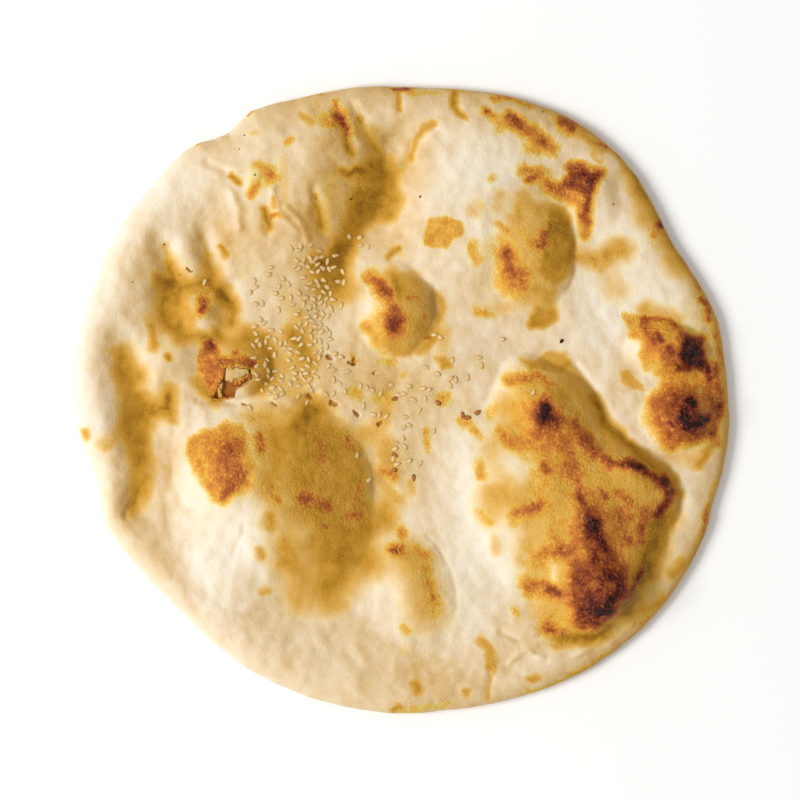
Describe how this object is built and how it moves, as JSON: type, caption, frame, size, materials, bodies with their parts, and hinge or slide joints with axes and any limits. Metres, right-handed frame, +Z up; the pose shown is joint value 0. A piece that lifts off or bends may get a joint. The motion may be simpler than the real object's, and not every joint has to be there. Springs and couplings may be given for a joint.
{
  "type": "naan bread",
  "caption": "Round leavened flatbread with a low soft rim, a thin middle and large puffed, browned blisters on its upper skin; flat underneath.",
  "frame": {"origin": "on the table, under the middle of the bread's bounding box", "axes": "+Z up through the browned upper side, +X along the bread's greatest width, +Y away from a person it lies in front of"},
  "size_m": [0.263, 0.2502, 0.0221],
  "materials": {
    "crust": "soft baked wheat crust, floury cream with golden to charred blisters",
    "sesame": "hulled sesame seed, smooth and faintly oily"
  },
  "bodies": {
    "root": {"naan_bread": "crust"}
  },
  "joints": []
}
